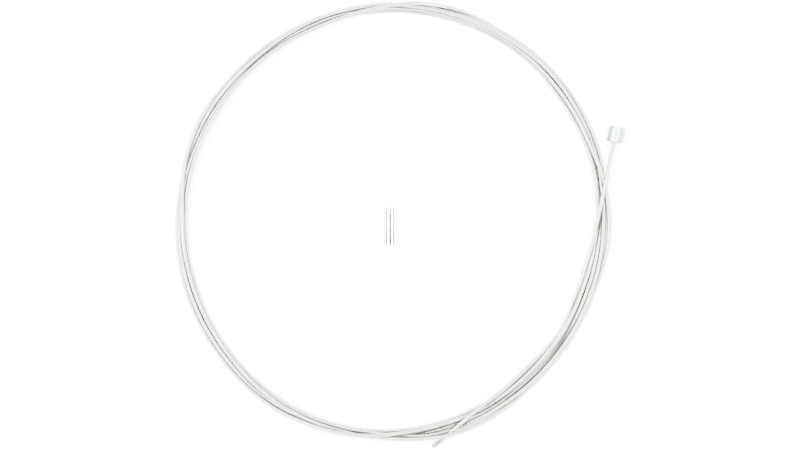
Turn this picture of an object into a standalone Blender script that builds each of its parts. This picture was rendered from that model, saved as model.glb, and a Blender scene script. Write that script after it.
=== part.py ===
"""Bicycle shift cable, coiled as it is sold: a stranded steel wire with a cast cylindrical head.

The crimp-on end cap lies loose inside the coil. Metres, +Z up, everything lying on the plane
z = 0. Places round the coil are given clockwise from +X, seen from above.
"""

import math

import bpy
import numpy as np
from mathutils import Vector

MM = 0.001

# Clearance that separate solids keep where the real pieces touch
SEAT_GAP = 0.3 * MM

# Points of a turned profile that meet on the axis are merged, and shallow edges are shaded smooth
MERGE_DISTANCE = 0.001 * MM
SHARP_ANGLE = math.radians(50)

# Wire: one strand of steel wires, 2.1 m long over its coiled turns and its two ends
WIRE_DIAMETER = 1.2 * MM
WIRE_RADIUS = WIRE_DIAMETER / 2
ROUTE_SPACING = 2.5 * WIRE_DIAMETER
WIRE_BEVEL_RESOLUTION = 2

# Coil: turns that lie side by side, with the upper row nested in the grooves of the lower one
COIL_RADIUS = 62.8 * MM
LOWER_ROW_TURNS = 3
NESTING_ANGLE = 60
ROW_RISE = WIRE_DIAMETER * math.sin(math.radians(NESTING_ANGLE))
COIL_STEPS = 72
TURN_ARC_STEP = 30

# Head: it lies on its side, with the wire leaving the middle of its inner face
HEAD_DIAMETER = 4.5 * MM
HEAD_LENGTH = 4.6 * MM
HEAD_CHAMFER = 0.25 * MM
HEAD_SOCKET_DEPTH = 3.4 * MM
HEAD_MOUTH_FLARE = 0.2 * MM
HEAD_STEPS = 48
HEAD_ANGLE = -19.3
HEAD_OUTWARD = 7.35 * MM
HEAD_LEAN = math.radians(12.0)
HEAD_STRAIGHT = 2.5 * MM

# End cap: a deep-drawn cup with one rounded end, a shallow ring groove and a slightly open mouth
CAP_DIAMETER = 3.5 * MM
CAP_LENGTH = 11.2 * MM
CAP_WALL = 0.55 * MM
CAP_END_ROUNDING = 0.45 * MM
CAP_ROUNDING_STEPS = 4
CAP_GROOVE_FROM_END = 1.5 * MM
CAP_GROOVE_WIDTH = 0.9 * MM
CAP_GROOVE_DEPTH = 0.08 * MM
CAP_GROOVE_STEPS = 4
CAP_MOUTH_LENGTH = 1.8 * MM
CAP_MOUTH_FLARE = 0.06 * MM
CAP_STEPS = 40
CAP_PLACE = (0.0 * MM, -1.7 * MM)

# A free end of the wire lies beside the turns or on top of them
BESIDE_TURNS = (LOWER_ROW_TURNS + 1) / 2 * WIRE_DIAMETER + SEAT_GAP
ON_SURFACE = WIRE_RADIUS
ON_TURNS = ROW_RISE + 3 * WIRE_RADIUS + SEAT_GAP

# The free ends' routes, as (degrees round the coil, place across the turns, place up). Across
# runs from -1, beside the turns on the inner side, to 1 on the outer side. Up runs from 0 on the
# surface to 1 on top of the turns.
HEAD_END_ROUTE = (
    (-12.5, 1.2, 0.9),
    (-3.4, -0.25, 1.05),
    (7.5, -1.0, 1.02),
    (14.0, -1.02, 0.62),
    (21.0, -1.02, 0.16),
    (27.0, -1.02, 0.0),
    (33.0, -1.02, 0.0),
)
TAIL_END_ROUTE = (
    (38.0, -1.02, 0.0),
    (45.0, -1.02, 0.0),
    (52.0, -1.02, 0.3),
    (59.0, -1.0, 0.95),
    (65.0, -0.5, 1.08),
    (70.0, 0.22, 1.08),
    (74.5, 0.96, 0.87),
    (79.2, 1.93, 0.12),
)

STEEL = ("stranded_steel", (0.74, 0.73, 0.70), 0.32)
ZINC = ("cast_zinc", (0.78, 0.80, 0.82), 0.28)
ALUMINIUM = ("drawn_aluminium", (0.90, 0.90, 0.87), 0.22)


def clear_scene():
    for old in list(bpy.data.objects):
        bpy.data.objects.remove(old, do_unlink=True)


def metal(name, colour, roughness):
    material = bpy.data.materials.new(name)
    material.use_nodes = True
    shader = material.node_tree.nodes["Principled BSDF"]
    shader.inputs["Base Color"].default_value = (*colour, 1.0)
    shader.inputs["Metallic"].default_value = 1.0
    shader.inputs["Roughness"].default_value = roughness
    return material


def place(obj, material, collection, centre):
    """Gives a piece its material and hangs it on the coil's centre."""
    obj.data.materials.append(material)
    collection.objects.link(obj)
    obj.parent = centre
    return obj


def round_the_coil(degrees, outward, height):
    """The point that lies this far clockwise from +X, outside the middle of the turns."""
    angle = -math.radians(degrees)
    radius = COIL_RADIUS + outward
    return Vector((radius * math.cos(angle), radius * math.sin(angle), height))


def route_point(degrees, across, up):
    """A point of a free end's route."""
    height = ON_SURFACE + up * (ON_TURNS - ON_SURFACE)
    return round_the_coil(degrees, across * BESIDE_TURNS, height)


def arc(middle, radius, start, end, steps):
    """Points on an arc in the profile's plane, from start up to but without end, in degrees."""
    points = []
    for i in range(steps):
        angle = math.radians(start + (end - start) * i / steps)
        x = middle[0] + radius * math.cos(angle)
        z = middle[1] + radius * math.sin(angle)
        points.append((x, z))
    return points


def turned(name, profile, steps, closed=False):
    """A mesh object made by turning a profile of (radius, height) once round Z."""
    count = len(profile)
    edges = [(i, i + 1) for i in range(count - 1)]
    if closed:
        edges.append((count - 1, 0))
    outline = bpy.data.meshes.new(name + "_profile")
    outline.from_pydata([(x, 0.0, z) for x, z in profile], edges, [])
    lathe = bpy.data.objects.new(name + "_profile", outline)
    bpy.context.scene.collection.objects.link(lathe)
    screw = lathe.modifiers.new("turn", "SCREW")
    screw.steps = steps
    screw.render_steps = steps
    screw.use_merge_vertices = True
    screw.merge_threshold = MERGE_DISTANCE
    bpy.context.view_layer.update()
    turned_shape = lathe.evaluated_get(bpy.context.evaluated_depsgraph_get())
    mesh = bpy.data.meshes.new_from_object(turned_shape)
    bpy.data.objects.remove(lathe)
    mesh.name = name
    mesh.shade_smooth()
    mesh.set_sharp_from_angle(angle=SHARP_ANGLE)
    return bpy.data.objects.new(name, mesh)


def smooth_route(knots, spacing):
    """Points about this far apart on a smooth curve through the knots."""
    knots = np.array([tuple(knot) for knot in knots])
    strides = np.linalg.norm(np.diff(knots, axis=0), axis=1)
    speeds = np.diff(knots, axis=0) / strides[:, None]
    before = strides[:-1, None]
    after = strides[1:, None]
    slopes = (speeds[1:] * before + speeds[:-1] * after) / (before + after)
    slopes = np.vstack((speeds[0], slopes, speeds[-1]))
    points = [knots[0]]
    for i, stride in enumerate(strides):
        count = max(1, round(stride / spacing))
        for t in np.arange(1, count + 1) / count:
            point = knots[i] * (2 * t**3 - 3 * t**2 + 1) + knots[i + 1] * (3 * t**2 - 2 * t**3)
            point += slopes[i] * stride * (t**3 - 2 * t**2 + t)
            point += slopes[i + 1] * stride * (t**3 - t**2)
            points.append(point)
    return points


def wire_tube(name, knots):
    """A length of the wire along a smooth curve through the knots, never below the surface."""
    curve = bpy.data.curves.new(name, "CURVE")
    curve.dimensions = "3D"
    curve.bevel_depth = WIRE_RADIUS
    curve.bevel_resolution = WIRE_BEVEL_RESOLUTION
    curve.use_fill_caps = True
    points = smooth_route(knots, ROUTE_SPACING)
    spline = curve.splines.new("POLY")
    spline.points.add(len(points) - 1)
    for spot, (x, y, z) in zip(spline.points, points):
        spot.co = (x, y, max(z, WIRE_RADIUS), 1.0)
    return bpy.data.objects.new(name, curve)


def bundle_outline():
    """The outer shape of the turns' section: each round wire shows as far as its neighbours.

    It runs clockwise: over the upper row from the coil's inner side, then back under the lower
    row. Wires in a row touch level with their middles, and the rows touch at the nesting angle.
    """
    upper = LOWER_ROW_TURNS - 1
    outline = []
    for i in range(upper):
        middle = ((i - (upper - 1) / 2) * WIRE_DIAMETER, WIRE_RADIUS + ROW_RISE)
        start = 180 + NESTING_ANGLE if i == 0 else 180
        end = -NESTING_ANGLE if i == upper - 1 else 0
        outline += arc(middle, WIRE_RADIUS, start, end, (start - end) // TURN_ARC_STEP)
    for i in reversed(range(LOWER_ROW_TURNS)):
        middle = ((i - upper / 2) * WIRE_DIAMETER, WIRE_RADIUS)
        start = 180 - NESTING_ANGLE if i == upper else 0
        end = NESTING_ANGLE - 360 if i == 0 else -180
        outline += arc(middle, WIRE_RADIUS, start, end, (start - end) // TURN_ARC_STEP)
    return outline


def make_coil():
    """The coiled turns as one solid: the section of the bundle, turned round the coil's centre."""
    profile = [(COIL_RADIUS + x, z) for x, z in bundle_outline()]
    return turned("wire_coil", profile, COIL_STEPS, closed=True)


def head_axis():
    """The way that the head points, away from the wire."""
    return Vector((math.sin(HEAD_LEAN), math.cos(HEAD_LEAN), 0.0))


def head_face():
    """The middle of the head's inner face, where the wire leaves it."""
    return round_the_coil(HEAD_ANGLE, HEAD_OUTWARD, HEAD_DIAMETER / 2)


def make_head():
    """The cast head: a chamfered cylinder with a blind socket that the wire's end sits in."""
    radius = HEAD_DIAMETER / 2
    socket = WIRE_RADIUS + SEAT_GAP
    profile = [
        (0.0, HEAD_LENGTH),
        (radius - HEAD_CHAMFER, HEAD_LENGTH),
        (radius, HEAD_LENGTH - HEAD_CHAMFER),
        (radius, HEAD_CHAMFER),
        (radius - HEAD_CHAMFER, 0.0),
        (socket + HEAD_MOUTH_FLARE, 0.0),
        (socket, HEAD_MOUTH_FLARE),
        (socket, HEAD_SOCKET_DEPTH),
        (0.0, HEAD_SOCKET_DEPTH),
    ]
    head = turned("cable_head", profile, HEAD_STEPS)
    head.location = head_face()
    head.rotation_mode = "QUATERNION"
    head.rotation_quaternion = head_axis().to_track_quat("Z", "Y")
    return head


def make_head_end():
    """The wire from its seat in the head, over the coil and down along its inner side."""
    seated = HEAD_SOCKET_DEPTH - SEAT_GAP
    knots = [
        head_face() + head_axis() * seated,
        head_face(),
        head_face() - head_axis() * HEAD_STRAIGHT,
    ]
    knots += [route_point(*knot) for knot in HEAD_END_ROUTE]
    return wire_tube("wire_head_end", knots)


def make_tail_end():
    """The wire's bare end, which rises from the coil's inner side and crosses over it."""
    return wire_tube("wire_tail_end", [route_point(*knot) for knot in TAIL_END_ROUTE])


def groove_depth(height):
    """How far the ring groove near the rounded end draws the cap's wall in at this height."""
    middle = CAP_LENGTH - CAP_GROOVE_FROM_END
    off = (height - middle) / (CAP_GROOVE_WIDTH / 2)
    return CAP_GROOVE_DEPTH * 0.5 * (1 + math.cos(math.pi * off)) if abs(off) < 1 else 0.0


def make_end_cap():
    """The end cap: a thin cup that is slid over the wire's bare end and crimped."""
    radius = CAP_DIAMETER / 2
    bore = radius - CAP_WALL
    groove_bottom = CAP_LENGTH - CAP_GROOVE_FROM_END
    profile = [(0.0, CAP_LENGTH)]
    rounding = (radius - CAP_END_ROUNDING, CAP_LENGTH - CAP_END_ROUNDING)
    profile += arc(rounding, CAP_END_ROUNDING, 90, 0, CAP_ROUNDING_STEPS)
    for i in range(CAP_GROOVE_STEPS + 1):
        height = groove_bottom + (0.5 - i / CAP_GROOVE_STEPS) * CAP_GROOVE_WIDTH
        profile.append((radius - groove_depth(height), height))
    profile += [
        (radius, CAP_MOUTH_LENGTH),
        (radius + CAP_MOUTH_FLARE, 0.0),
        (bore + CAP_MOUTH_FLARE, 0.0),
        (bore, CAP_MOUTH_LENGTH),
        (bore, CAP_LENGTH - CAP_WALL),
        (0.0, CAP_LENGTH - CAP_WALL),
    ]
    cap = turned("end_cap", profile, CAP_STEPS)
    cap.location = (CAP_PLACE[0], CAP_PLACE[1] - CAP_LENGTH / 2, radius + CAP_MOUTH_FLARE)
    cap.rotation_euler = (math.radians(-90), 0.0, 0.0)
    return cap


def corners(parts):
    """The lowest and highest corner of the evaluated parts."""
    graph = bpy.context.evaluated_depsgraph_get()
    spots = []
    for part in parts:
        shape = part.evaluated_get(graph)
        mesh = shape.to_mesh()
        spots += [shape.matrix_world @ vertex.co for vertex in mesh.vertices]
        shape.to_mesh_clear()
    spots = np.array([tuple(spot) for spot in spots])
    return spots.min(axis=0), spots.max(axis=0)


def stand_on_origin(centre, parts):
    """Moves the whole cable so that the origin is the middle of its box, on the surface."""
    bpy.context.view_layer.update()
    low, high = corners(parts)
    middle = (low + high) / 2
    centre.location = (-middle[0], -middle[1], -low[2])
    bpy.context.view_layer.update()


def main():
    clear_scene()
    collection = bpy.data.collections.new("shift_cable")
    bpy.context.scene.collection.children.link(collection)
    centre = bpy.data.objects.new("coil_centre", None)
    collection.objects.link(centre)
    steel = metal(*STEEL)
    zinc = metal(*ZINC)
    aluminium = metal(*ALUMINIUM)
    parts = [
        place(make_coil(), steel, collection, centre),
        place(make_head_end(), steel, collection, centre),
        place(make_tail_end(), steel, collection, centre),
        place(make_head(), zinc, collection, centre),
        place(make_end_cap(), aluminium, collection, centre),
    ]
    stand_on_origin(centre, parts)


main()
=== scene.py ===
# %% [markdown]
# # A bicycle shift cable, seen from above
#
# The real thing is one piece of thin stranded steel wire with a small cast head on one end. It comes
# wound in a coil as wide as a hand, and the aluminium end cap that is crimped on later lies inside the
# coil. There is little of it, so everything depends on how the turns lie on each other and on how
# three kinds of bright metal answer the same light.
#
# The first cell loads the measured model that this scene dresses. Its parts already lie where they
# belong, in metres, with the surface that the cable lies on at a height of zero.

import math

import bpy
import numpy as np
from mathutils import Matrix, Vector
from mathutils.kdtree import KDTree


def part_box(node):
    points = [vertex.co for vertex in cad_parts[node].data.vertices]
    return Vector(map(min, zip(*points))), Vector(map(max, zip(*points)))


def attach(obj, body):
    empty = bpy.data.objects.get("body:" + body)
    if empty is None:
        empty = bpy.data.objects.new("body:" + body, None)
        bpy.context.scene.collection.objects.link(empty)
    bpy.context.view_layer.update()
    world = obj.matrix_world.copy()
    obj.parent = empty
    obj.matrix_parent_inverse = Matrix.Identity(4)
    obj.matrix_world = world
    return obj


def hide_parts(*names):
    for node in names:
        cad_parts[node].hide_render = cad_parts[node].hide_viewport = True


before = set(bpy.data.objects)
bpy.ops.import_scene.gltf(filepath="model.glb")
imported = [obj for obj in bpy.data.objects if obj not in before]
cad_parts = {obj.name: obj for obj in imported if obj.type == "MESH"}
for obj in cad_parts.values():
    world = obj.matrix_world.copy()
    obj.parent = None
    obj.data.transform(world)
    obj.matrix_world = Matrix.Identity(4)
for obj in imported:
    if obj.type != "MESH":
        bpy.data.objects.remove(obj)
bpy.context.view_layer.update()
MM = 0.001
coil_low, coil_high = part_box("wire_coil")
CENTRE = (coil_low + coil_high) / 2


def in_mm(place):
    """A place in millimetres, rounded for printing."""
    return [round(value / MM, 2) for value in place]


print("nodes", sorted(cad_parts))
print("middle of the coil, mm", in_mm(CENTRE))

# %% [markdown]
# ## The camera
#
# The photograph was taken from straight above. A camera that looks straight down needs no turn at
# all, because a new camera already looks along -Z. What has to be found is how wide the picture is
# on the surface. The wire is 1.2 mm thick there and measures a little over 4 pixels, which makes a
# picture of 800 pixels 237 mm wide. A long lens from far away keeps the coil's far and near edges
# at the same scale.

# %% Look straight down
PICTURE_WIDTH = 236.7 * MM
PICTURE_MIDDLE = Vector((0.55 * MM, 0.03 * MM, 1.5 * MM))
CAMERA_HEIGHT = 1.2
SENSOR = 36.0

bpy.ops.object.camera_add(
    location=(PICTURE_MIDDLE.x, PICTURE_MIDDLE.y, PICTURE_MIDDLE.z + CAMERA_HEIGHT),
    rotation=(0.0, 0.0, 0.0),
)
camera = bpy.context.object
camera.name = "camera_above"
camera.data.sensor_width = SENSOR
camera.data.lens = SENSOR * CAMERA_HEIGHT / PICTURE_WIDTH
bpy.context.scene.camera = camera
print("lens, mm", round(camera.data.lens, 1))

# %% [markdown]
# ## The wire's route
#
# A real cable is one wire from the head to the tip, so this one is too. It could be a plain spiral,
# but a coil that comes out of its packet is never that tidy: each turn wanders in and out and changes
# places with its neighbours. Each turn is therefore a list of points, chosen where the turn shows in
# the photograph and close together where it crosses others. A point is an angle, clockwise from the
# right, and a distance from the middle in millimetres.
#
# A second list says which turn lies on which, from the bottom to the top, and where that order
# changes. The numbers in it are the turns, counted from the head.

# %% Choose the points of each turn
WIRE = 1.2 * MM
HEAD_FACE = (66.2, 23.2)
HEAD_LEAN = 12.0
HEAD_HEIGHT = 2.25
FIRST_ANGLE = -20

TURNS = (
    ((12, 59.41), (20, 59.3), (25, 59.45), (29, 60.1), (34, 60.5), (45, 60.7), (60, 61.01),
     (70, 61.42), (80, 61.92), (90, 62.37), (100, 62.72), (120, 62.78), (140, 62.54), (160, 62.25),
     (180, 61.72), (190, 61.54), (200, 61.66), (220, 61.66), (240, 61.78), (250, 61.86),
     (260, 62.01), (270, 62.13), (280, 62.22), (290, 62.37), (300, 62.54), (308, 62.6), (315, 62.49),
     (320, 62.19), (330, 61.92)),
    ((-20, 62.19), (-10, 61.92), (0, 61.48), (6, 60.95), (11.5, 60.65), (18, 60.47), (30, 60.62),
     (50, 61.04), (60, 61.69), (70, 62.13), (80, 62.43), (86, 62.84), (92, 63.55), (98, 64.17),
     (105, 64.59), (113, 64.94), (120, 65.21), (130, 64.91), (140, 64.38), (155, 63.97), (163, 63.7),
     (170, 63.28), (176, 62.95), (182, 62.69), (190, 62.43), (200, 62.31), (210, 62.6), (220, 62.28),
     (230, 62.22), (235, 62.4), (240, 62.72), (245, 63.11), (250, 63.37), (260, 63.61), (270, 63.7),
     (284, 63.67), (290, 63.73), (296, 63.93), (305, 64.17), (315, 64.41), (322, 64.38),
     (330, 64.17)),
    ((-20, 63.82), (-10, 63.43), (0, 63.17), (20, 63.11), (40, 63.31), (55, 63.73), (65, 64.2),
     (73, 64.64), (80, 64.67), (85, 64.14), (91, 63.43), (100, 62.81), (110, 62.63), (120, 62.37),
     (135, 61.75), (150, 61.18), (160, 60.8), (175, 60.71), (195, 60.65), (210, 60.44), (225, 60.65),
     (240, 60.92), (250, 61.15), (256, 61.6), (262, 62.34), (268, 63.22), (274, 64.14), (279, 64.79),
     (284, 65.18), (290, 65.24), (296, 64.94), (303, 64.44), (310, 63.99), (316, 63.79),
     (322, 63.58), (330, 63.34)),
    ((-20, 62.96), (-10, 62.81), (0, 62.49), (8, 62.04), (20, 61.83), (40, 62.31), (60, 62.84),
     (70, 63.08), (80, 63.61), (87, 64.26), (94, 64.59), (102, 64.32), (110, 64.05), (120, 63.96),
     (130, 63.82), (140, 63.37), (155, 63.02), (170, 62.66), (180, 62.25), (190, 61.78),
     (200, 61.33), (210, 61.21), (220, 61.24), (230, 61.42), (240, 61.72), (250, 62.19),
     (258, 62.54), (265, 62.78), (275, 62.93), (285, 62.93), (290, 63.02), (295, 63.22),
     (300, 63.31), (305, 63.4), (310, 63.34), (315, 63.2), (320, 63.11), (330, 63.08)),
    ((-20, 63.17), (-14, 63.91), (-8, 64.38), (0, 64.79), (5, 64.85), (11.5, 64.38), (18, 63.85),
     (28, 63.58), (40, 63.7), (50, 64.2), (56, 64.79), (64, 65.62), (70, 65.86), (76, 65.68),
     (83, 65.03), (90, 64.41), (97, 63.85), (108, 63.67), (118, 63.49), (130, 62.81), (140, 62.19),
     (150, 61.83), (165, 61.54), (177, 61.54), (181, 61.42), (184, 61.63), (187, 61.92),
     (190, 62.28), (193, 62.66), (197, 63.13), (204, 63.52), (212, 63.49), (220, 63.19),
     (230, 63.19), (238, 63.31), (245, 63.22), (253, 63.2), (262, 63.28), (270, 63.43), (278, 63.61),
     (284, 63.76), (290, 64.02), (296, 64.38), (303, 64.76), (310, 65), (316, 65.12), (322, 65.21),
     (330, 65.24)),
    ((-20, 65.06), (-14, 64.59), (-7, 63.76), (0, 62.81), (10, 61.69), (20, 60.9), (28, 60.55),
     (33, 60.3), (38, 59.8), (42, 59.56), (46, 59.53), (55, 60.12), (60, 60.65), (63, 61.04),
     (65, 61.48), (68, 62.43), (71, 63.61), (73.5, 64.79), (76, 66.27), (79.45, 68.15)),
)
STACKS = (
    (-20, (5, 3, 1, 2, 4, 0)),
    (11.5, (0, 5, 3, 4, 1, 2)),
    (47, (0, 3, 4, 1, 5, 2)),
    (64, (0, 3, 1, 2, 5, 4)),
    (72, (0, 3, 2, 5, 4, 1)),
    (120, (0, 1, 2, 3, 4)),
    (182, (0, 1, 3, 2, 4)),
    (205, (0, 1, 3, 4, 2)),
    (211, (4, 0, 3, 1, 2)),
    (284, (2, 4, 0, 3, 1)),
    (320, (4, 2, 0, 1, 3)),
)
print("turns", len(TURNS), "points", sum(len(turn) for turn in TURNS), "orders", len(STACKS))

# %% [markdown]
# The points are joined by a smooth curve. A Hermite curve passes through every point and takes its
# direction there from the two runs beside it, which is what a springy wire does between the places
# that hold it. The straight stretch behind the head comes first: it leaves the head square to its
# face and then runs under the next turn. The curve is read once for each degree, so that the same
# place on two turns always has the same number, whole turns apart.

# %% Join the points and read the curve at every degree
STRAIGHT_LENGTH = 32
STRAIGHT_SPACING = 4


def head_points():
    """Angle and distance of points on the straight stretch that leaves the head."""
    lean = math.radians(HEAD_LEAN)
    found = []
    for along in range(0, STRAIGHT_LENGTH + 1, STRAIGHT_SPACING):
        x = HEAD_FACE[0] - math.sin(lean) * along
        y = HEAD_FACE[1] - math.cos(lean) * along
        found.append((-math.degrees(math.atan2(y, x)), math.hypot(x, y)))
    return found


def smooth_curve(angles, distances, wanted):
    """The Hermite curve through the points, read at the wanted angles."""
    run = np.diff(angles)
    slope = np.diff(distances) / run
    inner = (slope[1:] * run[:-1] + slope[:-1] * run[1:]) / (run[1:] + run[:-1])
    lean = np.concatenate((slope[:1], inner, slope[-1:]))
    at = np.clip(np.searchsorted(angles, wanted, side="right") - 1, 0, len(run) - 1)
    share = (wanted - angles[at]) / run[at]
    return (
        distances[at] * (2 * share**3 - 3 * share**2 + 1)
        + distances[at + 1] * (3 * share**2 - 2 * share**3)
        + lean[at] * run[at] * (share**3 - 2 * share**2 + share)
        + lean[at + 1] * run[at] * (share**3 - share**2)
    )


points = head_points()
for number, turn in enumerate(TURNS):
    points += [(angle + 360 * number, distance) for angle, distance in turn]
point_angles = np.array([angle for angle, _ in points], float)
point_distances = np.array([distance for _, distance in points], float)
degrees = np.arange(360 * len(TURNS)) + float(FIRST_ANGLE)
present = (degrees >= point_angles[0]) & (degrees <= point_angles[-1])
chosen = smooth_curve(point_angles, point_distances, np.clip(degrees, point_angles[0], point_angles[-1]))
print("the wire runs through", round(point_angles[-1] - point_angles[0]), "degrees")

# %% [markdown]
# ## Let the turns settle
#
# Seen from above the route is right, but it still has no heights. They could be typed in, turn by
# turn, and would be wrong wherever three or four turns cross. It is simpler to let the turns find
# their places. Each round of a small loop pulls every turn down a little, evens out sharp bends as
# stiff wire does, and then pushes apart any two turns that are closer than one wire, up and down or
# sideways. The order of the stack decides which of the two goes up. Turns that can be seen keep to
# their chosen points, and the hidden ones may slide where there is room.

# %% Note which turn lies over which, and where a turn is hidden
COUNT = len(TURNS)
WIRE_MM = WIRE / MM
COVERED = 0.55
first = int(np.argmax(present))
last = len(present) - int(np.argmax(present[::-1]))


def evened(values, reach):
    """The values along the wire, each averaged with those near it."""
    side = int(3 * reach)
    weight = np.exp(-0.5 * (np.arange(-side, side + 1) / reach) ** 2)
    weight /= weight.sum()
    part = values[first:last]
    before = 2 * part[0] - part[1 : side + 1][::-1]
    after = 2 * part[-1] - part[-side - 1 : -1][::-1]
    out = values.copy()
    out[first:last] = np.convolve(np.concatenate((before, part, after)), weight, "valid")
    return out


def stack_at(angle):
    """The turns at that angle, from the bottom up."""
    return [order for start, order in STACKS if angle >= start][-1]


over = np.zeros((COUNT, COUNT, 360))
for place in range(360):
    stack = stack_at(place + FIRST_ANGLE)
    for rank, low in enumerate(stack):
        for high in stack[rank + 1 :]:
            over[high, low, place] = 1
            over[low, high, place] = -1
by_turn = (COUNT, 360)
there = present.reshape(by_turn)
hidden = np.zeros(by_turn)
for low in range(COUNT):
    for high in range(COUNT):
        near = np.abs(chosen.reshape(by_turn)[low] - chosen.reshape(by_turn)[high]) < COVERED * WIRE_MM
        hidden[low] = np.maximum(hidden[low], (over[high, low] > 0) & there[low] & there[high] & near)
print("share of the wire that lies hidden", round(float(hidden.sum() / present.sum()), 2))

# %% [markdown]
# Two turns touch when their middles are one wire apart, with a little slack. Each of the two then
# moves half of what is missing. Where they cross the wrong way round, the one that belongs on top
# first climbs to a least rise above the other. A push sideways counts for less than one up or down,
# because a turn lifts more easily than it slides. The last rounds are calmer, so that the wire comes
# to rest.
#
# The numbers were found by trying. In one round a turn sinks by PULL, in millimetres, moves the share
# BEND of the way to an evened line, and goes back towards its chosen points by HOLD, by LOOSE where it
# is hidden and by HELD right behind the head. A reach says how far along the wire an average goes, in
# degrees.

# %% Push the turns apart, round after round
SLACK = 1.017
CONTACT = WIRE_MM * SLACK
LEAST_RISE = 0.15
SIDE_SHARE = 0.6
ROUNDS = 700
PUSHES = 4
PULL = 0.004
BEND = 0.25
BEND_REACH = 2.5
HOLD = 0.125
LOOSE = 0.002
HELD = 0.5
HOLD_REACH = 3
START_GAP = 0.7
START_REACH = 6
LAST_REACH = 1.0
CALM_FROM = 0.7
CALM = 0.3
MEAN_DISTANCE = 63.0
STRAIGHT_DEGREES = 10
HEAD_DEGREES = 3


def push_apart(across, height, turn_slope, one, two):
    """Moves two turns apart wherever they are closer than one wire."""
    way = over[one, two]
    beside = (across[one] - across[two]) * np.cos(np.arctan(turn_slope[one] - turn_slope[two]))
    above = (height[one] - height[two]) * way
    lowest = LEAST_RISE * CONTACT
    close = np.abs(beside) < CONTACT
    wrong = (above < lowest) & close
    lifted = np.where(wrong, np.maximum(above, lowest), above)
    apart = np.hypot(beside, lifted)
    touch = there[one] & there[two] & close & (way != 0) & ((apart < CONTACT) | wrong)
    push = np.where(touch, np.maximum(CONTACT - apart, 0), 0) * 0.5
    room = np.sqrt(np.clip(1 - (beside / CONTACT) ** 2, 0, 1))
    climb = np.where(touch & wrong, lowest - above, 0) * 0.5 * room
    up = (push * lifted / apart + climb) * way
    side = push * beside / apart * SIDE_SHARE
    height[one] += up
    height[two] -= up
    across[one] += side
    across[two] -= side


def settle():
    """Distances from the middle and heights of the wire at every degree, in millimetres."""
    keep = evened(np.where(hidden.reshape(-1) > 0, LOOSE, HOLD), HOLD_REACH)
    keep[first : first + STRAIGHT_DEGREES] = HELD
    across = chosen.copy()
    height = np.full(len(degrees), WIRE_MM / 2)
    for place in range(360):
        for rank, turn in enumerate(stack_at(place + FIRST_ANGLE)):
            height[turn * 360 + place] += rank * WIRE_MM * START_GAP
    height = evened(height, START_REACH)
    head = slice(first, first + HEAD_DEGREES)
    for number in range(ROUNDS):
        calm = 1.0 if number < CALM_FROM * ROUNDS else CALM
        height[first:last] -= PULL * calm
        height += BEND * calm * (evened(height, BEND_REACH) - height)
        across += keep * (chosen - across)
        across += BEND * calm * (evened(across, BEND_REACH) - across)
        turn_slope = (np.gradient(across) / math.radians(1) / MEAN_DISTANCE).reshape(by_turn)
        for _ in range(PUSHES):
            for one in range(COUNT):
                for two in range(one + 1, COUNT):
                    push_apart(across.reshape(by_turn), height.reshape(by_turn), turn_slope, one, two)
            np.maximum(height, WIRE_MM / 2, out=height)
            height[head] = HEAD_HEIGHT
            across[head] = chosen[head]
    return evened(across, LAST_REACH), evened(height, LAST_REACH)


across, height = settle()
moved = np.abs(across - chosen)[first:last]
highest = float(height[first:last].max()) + WIRE_MM / 2
print("highest point, mm", round(highest, 2), "moved sideways at most, mm", round(float(moved.max()), 2))

# %% [markdown]
# The settled degrees are turned into points in space and read again at even steps along the wire, so
# that the twist of the strand comes out even. The free tip was melted so that it can't fray, which
# leaves it round. Four more points lie close together there, each with a smaller share of the full
# thickness, and so the same sweep that makes the wire also rounds its end.

# %% Points along the wire
STEP = 0.8 * MM
TIP_ROUND = 0.45 * MM
TIP_TURNS = np.radians((25, 50, 70, 84))
FINE_ANGLE = 0.125


def in_space(angle, distance, up):
    """Points in metres from angles, distances in millimetres and heights in millimetres."""
    turned = -np.radians(angle)
    return np.stack(
        (
            CENTRE.x + distance * np.cos(turned) * MM,
            CENTRE.y + distance * np.sin(turned) * MM,
            up * MM,
        ),
        axis=1,
    )


face_distance = math.hypot(*HEAD_FACE)
route_angles = np.concatenate(([point_angles[0]], degrees[first:last], [point_angles[-1]]))
route_distances = np.concatenate(([face_distance], across[first:last], [point_distances[-1]]))
route_heights = np.concatenate(([HEAD_HEIGHT], height[first:last], [WIRE_MM / 2]))
fine_angles = np.arange(route_angles[0], route_angles[-1], FINE_ANGLE)
fine = in_space(
    fine_angles,
    smooth_curve(route_angles, route_distances, fine_angles),
    smooth_curve(route_angles, route_heights, fine_angles),
)
gone = np.concatenate(([0.0], np.cumsum(np.linalg.norm(np.diff(fine, axis=0), axis=1))))
wire_length = float(gone[-1])
steps = int(wire_length / STEP)
along = np.linspace(0.0, wire_length - TIP_ROUND, steps + 1)
along = np.concatenate((along, wire_length - TIP_ROUND * (1 - np.sin(TIP_TURNS))))
fullness = np.concatenate((np.ones(steps + 2), np.cos(TIP_TURNS)))
wire_points = np.stack([np.interp(along, gone, fine[:, axis]) for axis in range(3)], axis=1)
print("length of the wire, m", round(wire_length, 4), "points", len(wire_points))

# %% [markdown]
# ## The strand
#
# The wire is itself made of thin wires: one in the middle, six round it and twelve outside, laid like
# a rope. Only the outer twelve show. This kind is pulled through a die at the end, which flattens the
# crowns of its outer wires and leaves only shallow grooves, so that it slides well in its housing.
# They could be modelled one by one, which would take a dozen long tubes, or painted on a smooth tube,
# which would have no grooves up close. A curve with a shaped profile is the simplest true answer. Its
# profile is the drawn outline of the twelve wires, three points for each: the groove beside it and the
# two sides of its crown.

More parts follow.
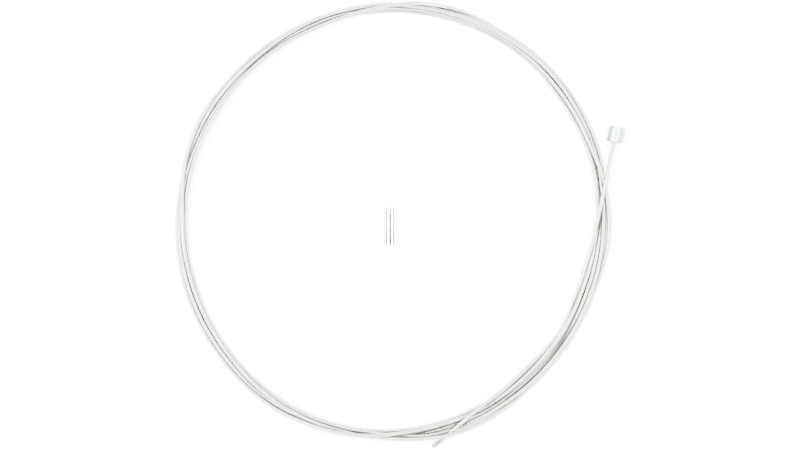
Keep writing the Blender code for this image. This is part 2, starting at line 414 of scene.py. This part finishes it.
# %% Draw the strand's outline
OUTER_WIRES = 12
CROWN_TURN = 10.5
GROOVE_DEEP = 0.03 * MM
outline = []
for wire_number in range(OUTER_WIRES):
    for turn, deep in ((-180 / OUTER_WIRES, GROOVE_DEEP), (-CROWN_TURN, 0.0), (CROWN_TURN, 0.0)):
        angle = math.radians(wire_number * 360 / OUTER_WIRES + turn)
        reach = WIRE / 2 - deep
        outline.append((reach * math.cos(angle), reach * math.sin(angle), 0.0, 1.0))
profile_curve = bpy.data.curves.new("strand_outline", "CURVE")
profile_curve.dimensions = "2D"
profile_curve.fill_mode = "NONE"
profile_line = profile_curve.splines.new("POLY")
profile_line.points.add(len(outline) - 1)
profile_line.use_cyclic_u = True
for point, place in zip(profile_line.points, outline):
    point.co = place
profile = bpy.data.objects.new("strand_outline", profile_curve)
bpy.context.collection.objects.link(profile)
print("points of the outline", len(outline))

# %% [markdown]
# The outline is now swept along the route. Turning it a little at each point of the curve lays the
# thin wires in a screw. Blender calls that turn the tilt and stops it at sixty full turns, so only the
# part of the last turn is given, which lies the same. One more point comes first, inside the head, so
# that no gap shows where the wire enters it. The wire's two ends are filled afterwards.

# %% Sweep the outline along the route
LAY = 11.0 * MM
HEAD_OVERLAP = 1.5 * MM


def only(thing):
    """Selects just this object and makes it the active one."""
    bpy.ops.object.select_all(action="DESELECT")
    thing.select_set(True)
    bpy.context.view_layer.objects.active = thing


out_of_head = wire_points[0] - wire_points[1]
out_of_head[2] = 0.0
inside = wire_points[0] + out_of_head / np.linalg.norm(out_of_head) * HEAD_OVERLAP
swept = np.vstack((inside, wire_points))
wire_curve = bpy.data.curves.new("wire", "CURVE")
wire_curve.dimensions = "3D"
wire_curve.twist_mode = "Z_UP"
wire_curve.bevel_mode = "OBJECT"
wire_curve.bevel_object = profile
wire_line = wire_curve.splines.new("POLY")
wire_line.points.add(len(swept) - 1)
ring_along = np.concatenate(([-HEAD_OVERLAP], along))
for point, place, distance, full in zip(wire_line.points, swept, ring_along, fullness):
    point.co = (*place, 1.0)
    point.tilt = 2 * math.pi * (distance / LAY % 1.0)
    point.radius = full
wire = bpy.data.objects.new("wire", wire_curve)
bpy.context.collection.objects.link(wire)
only(wire)
bpy.ops.object.convert(target="MESH")
wire = bpy.context.object
bpy.data.objects.remove(profile)
bpy.ops.object.mode_set(mode="EDIT")
bpy.ops.mesh.select_all(action="SELECT")
bpy.ops.mesh.fill_holes(sides=len(outline))
bpy.ops.mesh.select_all(action="SELECT")
bpy.ops.mesh.normals_make_consistent(inside=False)
bpy.ops.object.mode_set(mode="OBJECT")
bpy.ops.object.shade_smooth()
print("wire", len(wire.data.polygons), "faces,", len(swept), "rings of", len(outline))

# %% [markdown]
# Three facts about places on the wire are stored with its mesh, so that the material can read them.
# The mesh is made of rings, one for each point of the route, and two of the facts follow from where a
# point lies in its ring and how far the ring is from the tip. The grooves between the thin wires are
# darkened as painted shade. The last millimetres were heated to melt the tip, which filled the grooves
# there and left a brown tint.

# %% Mark the grooves and the melted tip
TINT_LENGTH = 4.2 * MM
TINT_FADE = 0.8 * MM
ring_size = len(outline)
ring_count = len(swept)
mesh_points = np.arange(ring_size * ring_count)
from_tip = wire_length - ring_along[mesh_points // ring_size]
tint = np.clip((TINT_LENGTH - from_tip) / TINT_FADE, 0, 1).astype(np.float32)
# Points in a groove get painted shade in the material.
groove = (mesh_points % ring_size % (ring_size // OUTER_WIRES) == 0) * (1 - tint)
print("points in a groove", int((groove > 0).sum()), "in the tint", int((tint > 0).sum()))

# %% [markdown]
# The third fact is harder to find. Where two turns touch, the steel is darkened as painted shade
# between the turns. For every point of the surface, the distance to the nearest other turn says how
# deep it lies in that painted shade.

# %% Mark the painted shade between the turns
CONTACT_SHADE_REACH = 0.35 * MM
RINGS_APART = 60
# Each point gets more painted shade the closer it lies to another turn.
painted_contact_shade = np.zeros(len(mesh_points), np.float32)
places = np.zeros(len(mesh_points) * 3)
wire.data.vertices.foreach_get("co", places)
rings = places.reshape(ring_count, ring_size, 3)
ways = np.gradient(swept, axis=0)
ways /= np.linalg.norm(ways, axis=1)[:, None]
tree = KDTree(ring_count)
for index, place in enumerate(swept):
    tree.insert(place, index)
tree.balance()
for index in range(ring_count):
    found = tree.find_range(swept[index], 2 * WIRE + CONTACT_SHADE_REACH)
    others = [other for _, other, _ in found if abs(other - index) > RINGS_APART]
    if others:
        apart = rings[index][:, None] - swept[others][None]
        apart -= (apart * ways[others]).sum(axis=2)[:, :, None] * ways[others]
        nearest = np.linalg.norm(apart, axis=2).min(axis=1) - WIRE / 2
        painted_contact_shade[index * ring_size : (index + 1) * ring_size] = np.clip(1 - nearest / CONTACT_SHADE_REACH, 0, 1)
print("share of the surface under the film", round(float((painted_contact_shade > 0.5).mean()), 2))
for name, values in (("groove", groove), ("tint", tint), ("painted_contact_shade", painted_contact_shade)):
    wire.data.attributes.new(name, "FLOAT", "POINT").data.foreach_set("value", values)
reach = np.median(np.linalg.norm(rings - swept[:, None], axis=2), axis=0)
print("the groove and the two sides of a crown, mm from the middle", np.round(reach[:3] / MM, 3))

# %% [markdown]
# ## The head
#
# The head is zinc, cast round the end of the wire: a short cylinder with softened edges, a small collar
# where the metal crept out along the wire, and along each side a thin ridge of flash, where the two
# halves of the mould met. A cylinder with a bevel would do from afar. Here the shape is drawn as
# rings instead, each a scaled extrusion of the last, because that gives the collar and the softened
# edges in one go. A ring can't shrink to nothing, so a pole is a ring so small that merging makes it
# one point.

# %% Helpers that draw a round piece and lay it down
TINY = 0.001 * MM
POLE = 0.4 * TINY


def ringed(name, rings, around):
    """A round piece along Z: the first ring is a circle, and each next one is extruded and scaled."""
    bpy.ops.object.select_all(action="DESELECT")
    height, radius = rings[0]
    bpy.ops.mesh.primitive_circle_add(vertices=around, radius=radius, location=(0, 0, height))
    piece = bpy.context.object
    piece.name = piece.data.name = name
    bpy.ops.object.transform_apply(location=True, rotation=True, scale=True)
    bpy.ops.object.mode_set(mode="EDIT")
    for new_height, new_radius in rings[1:]:
        bpy.ops.mesh.extrude_region_move(TRANSFORM_OT_translate={"value": (0, 0, new_height - height)})
        factor = new_radius / radius
        bpy.ops.transform.resize(value=(factor, factor, 1), center_override=(0, 0, new_height))
        height, radius = new_height, new_radius
    bpy.ops.object.mode_set(mode="OBJECT")
    return piece


def lay_down(piece, foot, direction):
    """Lays a piece that stands on Z along a level direction, with its foot at a place."""
    only(piece)
    piece.rotation_mode = "QUATERNION"
    piece.rotation_quaternion = Vector(direction).to_track_quat("Z", "X")
    piece.location = foot
    bpy.ops.object.transform_apply(location=True, rotation=True, scale=True)


def pull_out(piece, wanted, factor):
    """Moves the wanted points of a piece that stands on Z away from its axis."""
    only(piece)
    bpy.ops.object.mode_set(mode="EDIT")
    bpy.ops.mesh.select_mode(type="VERT")
    bpy.ops.mesh.select_all(action="DESELECT")
    bpy.ops.object.mode_set(mode="OBJECT")
    for vertex in piece.data.vertices:
        vertex.select = wanted(vertex.co)
    bpy.ops.object.mode_set(mode="EDIT")
    bpy.ops.transform.resize(value=(factor, factor, 1), center_override=(0, 0, 0))
    bpy.ops.object.mode_set(mode="OBJECT")
    return sum(vertex.select for vertex in piece.data.vertices)


def outward(piece):
    """Merges doubles and points every face outwards."""
    only(piece)
    bpy.ops.object.mode_set(mode="EDIT")
    bpy.ops.mesh.select_all(action="SELECT")
    bpy.ops.mesh.remove_doubles(threshold=TINY)
    bpy.ops.mesh.normals_make_consistent(inside=False)
    bpy.ops.object.mode_set(mode="OBJECT")


# %% Cast the head
HEAD_RADIUS = 2.25 * MM
HEAD_LENGTH = 4.6 * MM
CHAMFER = 0.25 * MM
CORNER = 0.3 * CHAMFER
COLLAR_RADIUS = 0.85 * MM
COLLAR_LENGTH = 0.15 * MM
SHOULDER_RADIUS = 0.82 * COLLAR_RADIUS
SHOULDER_LENGTH = 0.8 * COLLAR_LENGTH
END_HOLLOW = 0.05 * MM
HOLLOW_RADIUS = 0.3 * HEAD_RADIUS
HOLLOW_DEPTH = 0.6 * END_HOLLOW
HEAD_AROUND = 128
head = ringed(
    "cast_head",
    (
        (-COLLAR_LENGTH, POLE),
        (-COLLAR_LENGTH, WIRE * 0.5),
        (-SHOULDER_LENGTH, SHOULDER_RADIUS),
        (0.0, COLLAR_RADIUS),
        (0.0, HEAD_RADIUS - CHAMFER),
        (CORNER, HEAD_RADIUS - CORNER),
        (CHAMFER, HEAD_RADIUS),
        (HEAD_LENGTH - CHAMFER, HEAD_RADIUS),
        (HEAD_LENGTH - CORNER, HEAD_RADIUS - CORNER),
        (HEAD_LENGTH, HEAD_RADIUS - CHAMFER),
        (HEAD_LENGTH - HOLLOW_DEPTH, HOLLOW_RADIUS),
        (HEAD_LENGTH - END_HOLLOW, POLE),
    ),
    HEAD_AROUND,
)
outward(head)
print("head", len(head.data.polygons), "faces")

# %% [markdown]
# The ridge of flash is pulled out of the points that lie on the seam, one row on each side. Then the
# head is laid down at the wire's end, leaning as it does in the photograph.

# %% Pull out the flash and lay the head down
FLASH = 0.2 * MM
HEAD_SHARP = math.radians(30)


def at_the_seam(place):
    """Whether a point of the head lies where the two halves of its mould met."""
    return abs(place.x) < TINY and abs(place.y) > HEAD_RADIUS - 0.5 * CHAMFER


flash_points = pull_out(head, at_the_seam, (HEAD_RADIUS + FLASH) / HEAD_RADIUS)
print("points on the flash", flash_points)
bpy.ops.object.shade_smooth_by_angle(angle=HEAD_SHARP)
head_axis = Vector((math.sin(math.radians(HEAD_LEAN)), math.cos(math.radians(HEAD_LEAN)), 0.0))
head_foot = Vector((CENTRE.x + HEAD_FACE[0] * MM, CENTRE.y + HEAD_FACE[1] * MM, HEAD_HEIGHT * MM))
lay_down(head, head_foot, head_axis)
print("head at, mm", in_mm(head_foot))

# %% [markdown]
# ## The end cap
#
# The cap is a little tube of drawn aluminium with one closed end, slipped over the cut wire and
# crimped so that the strand can't fray. Its closed end is pressed round, a shallow groove runs behind
# it, and the mouth is opened a little so that the wire finds its way in.

# %% Draw the end cap
CAP_RADIUS = 1.75 * MM
CAP_LENGTH = 11.2 * MM
CAP_WALL = 0.55 * MM
CAP_AROUND = 64
CAP_SHARP = math.radians(35)
END_ROUND = 0.45 * MM
END_RINGS = 7
GROOVE_AT = CAP_LENGTH - 1.5 * MM
GROOVE_HALF = 0.45 * MM
GROOVE_DEPTH = 0.08 * MM
GROOVE_RINGS = 9
MOUTH_LENGTH = 1.8 * MM
MOUTH_FLARE = 0.06 * MM
cap_rings = [
    (0.0, CAP_RADIUS + MOUTH_FLARE),
    (MOUTH_LENGTH * 0.5, CAP_RADIUS + MOUTH_FLARE * 0.5),
    (MOUTH_LENGTH, CAP_RADIUS),
]
for part in np.linspace(-1, 1, GROOVE_RINGS):
    depth = GROOVE_DEPTH * (1 + math.cos(math.pi * part)) / 2
    cap_rings.append((GROOVE_AT + GROOVE_HALF * part, CAP_RADIUS - depth))
for turn in np.radians(np.linspace(0, 90, END_RINGS)):
    at_height = CAP_LENGTH - END_ROUND * (1 - math.sin(turn))
    cap_rings.append((at_height, CAP_RADIUS - END_ROUND * (1 - math.cos(turn))))
cap_rings.append((CAP_LENGTH, POLE))
cap = ringed("crimp_cap", cap_rings, CAP_AROUND)
outward(cap)
wall = cap.modifiers.new("wall", "SOLIDIFY")
wall.thickness = CAP_WALL
wall.offset = -1
bpy.ops.object.modifier_apply(modifier="wall")
bpy.ops.object.shade_smooth_by_angle(angle=CAP_SHARP)
cap_low, cap_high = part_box("end_cap")
cap_foot = Vector(((cap_low.x + cap_high.x) / 2, cap_low.y, CAP_RADIUS + MOUTH_FLARE))
lay_down(cap, cap_foot, (0, 1, 0))
print("cap", len(cap.data.polygons), "faces, from, mm", in_mm(cap_low), "to", in_mm(cap_high))

# %% [markdown]
# ## Tools for the finishes
#
# A finish is made by nodes, and nodes are easier to read as arithmetic. The class below stands for
# one output of a node. Adding or multiplying two of them adds the Math node that does it.

# %% Arithmetic on node sockets


class Value:
    """A number that varies over a surface: one output socket of a material's nodes."""

    def __init__(self, finish, socket):
        self.finish = finish
        self.socket = socket

    def _math(self, operation, first, second):
        """One Math node with two inputs."""
        return self.finish.node("ShaderNodeMath", {"operation": operation}, {0: first, 1: second})

    def __add__(self, other):
        return self._math("ADD", self, other)

    __radd__ = __add__

    def __mul__(self, other):
        return self._math("MULTIPLY", self, other)

    __rmul__ = __mul__


# %% [markdown]
# A finish holds one material. Its methods add the few kinds of node that the metals need: a mix of two
# colours, clouds, a number stored with the mesh, and a bump.

# %% A material and its nodes


class Finish:
    """A material, its shader and the nodes that are added to it."""

    def __init__(self, name):
        self.material = bpy.data.materials.new(name)
        self.material.use_nodes = True
        self.tree = self.material.node_tree
        self.shader = self.tree.nodes["Principled BSDF"]

    def node(self, kind, settings=None, sockets=None, output=0):
        """Adds a node: its settings first, then the values or links of its sockets."""
        made = self.tree.nodes.new(kind)
        for name, value in (settings or {}).items():
            setattr(made, name, value)
        for name, value in (sockets or {}).items():
            self.feed(made.inputs[name], value)
        return Value(self, made.outputs[output])

    def feed(self, socket, value):
        """Links a Value to a socket, or sets the socket to a plain value."""
        if isinstance(value, Value):
            self.tree.links.new(value.socket, socket)
        else:
            socket.default_value = value

    def blend(self, factor, first, second):
        """A colour between two colours."""
        return self.node(
            "ShaderNodeMix", {"data_type": "RGBA"}, {0: factor, 6: first, 7: second}, output=2
        )

    def noise(self, scale, detail=3.0, stretch=(1.0, 1.0, 1.0)):
        """Soft clouds from 0 to 1 over the object's own coordinates."""
        place = self.node("ShaderNodeTexCoord", output=3)
        place = self.node("ShaderNodeMapping", None, {0: place, 3: stretch})
        return self.node("ShaderNodeTexNoise", None, {"Vector": place, "Scale": scale, "Detail": detail})

    def attribute(self, name):
        """A number that is stored with the mesh."""
        return self.node("ShaderNodeAttribute", {"attribute_name": name}, output=2)

    def bump(self, height, strength, distance):
        """A surface direction that rises and falls with a height."""
        return self.node(
            "ShaderNodeBump", None, {"Strength": strength, "Distance": distance, "Height": height}
        )

    def surface(self, **sockets):
        """Sets the shader's own sockets, with _ for a space in a name."""
        for name, value in sockets.items():
            self.feed(self.shader.inputs[name.replace("_", " ").title()], value)


# %% [markdown]
# Every piece wears one material.

# %% Dress a piece


def dress(piece, finish, slot, *nodes):
    """Gives a piece its only material and its body, hides the measured parts that it stands for, and
    prints its slot.
    """
    piece.data.materials.clear()
    piece.data.materials.append(finish.material)
    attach(piece, "root")
    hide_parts(*nodes)
    print(piece.name, "in", slot, "made by", len(finish.tree.nodes), "nodes")


# %% [markdown]
# ## Three bright metals
#
# All three are bare metal, so each is fully metallic and its base colour is the colour of its shine.
# What tells them apart is the tint and how sharp the shine is: drawn steel is warm and sharp, cast
# zinc is cool and dull, and drawn aluminium is the whitest. On a metal, the specular tint is the
# colour of the shine where the surface turns away from the camera: full on the wire, a little on the
# cap, and none on the head, whose edges are dark in the photograph.
#
# The strand comes first. Clouds make its steel a little uneven. Of the three stored facts, two mix in
# painted shade, in the grooves and where turns touch, and the third mixes in the brown tint of the
# melted tip.

# %% Stainless strand
STEEL_DARK = (0.25, 0.25, 0.23, 1.0)
STEEL_LIGHT = (0.36, 0.36, 0.335, 1.0)
STEEL_EDGE = (1.0, 1.0, 1.0, 1.0)
STEEL_ROUGH = 0.08
STEEL_UNEVEN = 0.06
CLOUD_SCALE = 180.0
# Painted shade where two turns touch.
CONTACT_SHADE_COLOUR = (0.06, 0.06, 0.058, 1.0)
CONTACT_SHADE_SHARE = 0.42
# Painted shade in the grooves between the thin wires.
GROOVE_SHADE_COLOUR = (0.03, 0.03, 0.028, 1.0)
GROOVE_SHADE_SHARE = 0.85
BROWN = (0.085, 0.074, 0.058, 1.0)
BROWN_SHARE = 0.9
steel = Finish("stranded_steel")
grooves = steel.attribute("groove")
tinted = steel.attribute("tint")
clouds = steel.noise(CLOUD_SCALE)
contact_shade_amount = steel.attribute("painted_contact_shade")
bright = steel.blend(clouds, STEEL_DARK, STEEL_LIGHT)
# Painted shade where turns touch, then painted shade in the grooves.
contact_shaded = steel.blend(contact_shade_amount * CONTACT_SHADE_SHARE, bright, CONTACT_SHADE_COLOUR)
groove_shaded = steel.blend(grooves * GROOVE_SHADE_SHARE, contact_shaded, GROOVE_SHADE_COLOUR)
browned = steel.blend(tinted * BROWN_SHARE, groove_shaded, BROWN)
steel.surface(
    base_color=browned,
    metallic=1.0,
    roughness=clouds * STEEL_UNEVEN + STEEL_ROUGH,
    specular_tint=STEEL_EDGE,
)
dress(wire, steel, "stranded_steel", "wire_coil", "wire_head_end", "wire_tail_end")

# %% [markdown]
# Zinc takes the grain of its mould, so its colour, its dullness and its surface all follow one fine
# mottle.

# %% Cast zinc
ZINC_DARK = (0.19, 0.22, 0.235, 1.0)
ZINC_LIGHT = (0.46, 0.50, 0.52, 1.0)
ZINC_EDGE = (0.0, 0.0, 0.0, 1.0)
ZINC_ROUGH = 0.34
ZINC_UNEVEN = 0.14
MOTTLE_SCALE = 900.0
MOTTLE_DETAIL = 4.0
GRAIN_STRENGTH = 0.25
GRAIN_DEPTH = 0.05 * MM
zinc = Finish("cast_zinc")
mottle = zinc.noise(MOTTLE_SCALE, MOTTLE_DETAIL)
cool = zinc.blend(mottle, ZINC_DARK, ZINC_LIGHT)
zinc.surface(
    base_color=cool,
    metallic=1.0,
    roughness=mottle * ZINC_UNEVEN + ZINC_ROUGH,
    specular_tint=ZINC_EDGE,
    normal=zinc.bump(mottle, GRAIN_STRENGTH, GRAIN_DEPTH),
)
dress(head, zinc, "cast_zinc", "cable_head")

# %% [markdown]
# Deep drawing leaves faint streaks along the cap. The same clouds make them, drawn out along Y, which
# is the way the cap lies.

# %% Drawn aluminium
ALUMINIUM_DARK = (0.74, 0.73, 0.68, 1.0)
ALUMINIUM_LIGHT = (0.84, 0.83, 0.78, 1.0)
ALUMINIUM_EDGE = (0.2, 0.2, 0.19, 1.0)
ALUMINIUM_ROUGH = 0.05
ALUMINIUM_UNEVEN = 0.03
STREAK_SCALE = 1500.0
STREAK_DETAIL = 2.0
STREAK_STRETCH = (1.0, 0.04, 1.0)
aluminium = Finish("drawn_aluminium")
streaks = aluminium.noise(STREAK_SCALE, STREAK_DETAIL, STREAK_STRETCH)
pale = aluminium.blend(streaks, ALUMINIUM_DARK, ALUMINIUM_LIGHT)
aluminium.surface(
    base_color=pale,
    metallic=1.0,
    roughness=streaks * ALUMINIUM_UNEVEN + ALUMINIUM_ROUGH,
    specular_tint=ALUMINIUM_EDGE,
)
dress(cap, aluminium, "drawn_aluminium", "end_cap")

# %% Points on the wire's line
print("points on the cord's line", len(swept))

# %% [markdown]
# ## Floor and light
#
# The photograph's surface is pure white and nearly without shadow. A pale sky gives the shadows their
# light. A ring of eight soft lamps above gives the metal something bright to show beside the middle
# of every wire, and leaves the sky near the horizon dimmer, which draws a fine grey line along both
# flanks. The lamps on the left are the strongest, so that each side of the coil comes out about as
# bright as in the photograph. A dark card hangs in the middle of the ring. Bright round metal always
# shows such a patch as a line along its top, and without it the cap would look like plastic.

# %% A white surface
FLOOR_SIZE = 8.0
FLOOR_WHITE = (0.95, 0.95, 0.95, 1.0)
FLOOR_ROUGH = 0.9
bpy.ops.mesh.primitive_plane_add(size=FLOOR_SIZE, location=(0, 0, 0))
floor = bpy.context.object
floor.name = "floor"
white = Finish("white_surface")
white.surface(base_color=FLOOR_WHITE, roughness=FLOOR_ROUGH)
floor.data.materials.append(white.material)
print("white surface, m across", FLOOR_SIZE)

# %% Soft light
SKY_WHITE = (1.0, 1.0, 1.0, 1.0)
SKY_STRENGTH = 0.9
world = bpy.data.worlds.new("studio")
world.use_nodes = True
sky = world.node_tree.nodes["Background"]
sky.inputs["Color"].default_value = SKY_WHITE
sky.inputs["Strength"].default_value = SKY_STRENGTH
bpy.context.scene.world = world


def soft_box(name, place, side, power):
    """A flat square lamp at a place, aimed at the coil."""
    bpy.ops.object.light_add(type="AREA", location=place)
    lamp = bpy.context.object
    lamp.name = name
    lamp.data.shape = "SQUARE"
    lamp.data.size = side
    lamp.data.energy = power
    lamp.rotation_mode = "QUATERNION"
    lamp.rotation_quaternion = (-Vector(place)).to_track_quat("-Z", "Y")


BOX_COUNT = 8
BOX_DISTANCE = 1.7
BOX_RISE = math.radians(51)
BOX_SIDE = 0.95
BOX_POWER = 110.0
SIDE_GAIN = 0.3
LEFT_GAIN = 0.2
level = BOX_DISTANCE * math.cos(BOX_RISE)
up = BOX_DISTANCE * math.sin(BOX_RISE)
for number in range(BOX_COUNT):
    turn = 2 * math.pi * (number + 0.5) / BOX_COUNT
    gain = 1 + SIDE_GAIN * math.cos(2 * turn) - LEFT_GAIN * math.cos(turn)
    place = (level * math.cos(turn), level * math.sin(turn), up)
    soft_box(f"soft_box_{number}", place, BOX_SIDE, BOX_POWER * gain)
print("lamps", BOX_COUNT, "at a height of, m", round(up, 2))

# %% The dark card above
CARD_SIZE = 1.4
CARD_HEIGHT = 1.6
CARD_DARK = (0.01, 0.01, 0.01, 1.0)
CARD_ROUGH = 1.0
bpy.ops.mesh.primitive_plane_add(size=CARD_SIZE, location=(0, 0, CARD_HEIGHT))
card = bpy.context.object
card.name = "dark_card"
dark = Finish("dark_card")
dark.surface(base_color=CARD_DARK, roughness=CARD_ROUGH)
card.data.materials.append(dark.material)
print("dark card, m across and up", CARD_SIZE, CARD_HEIGHT)
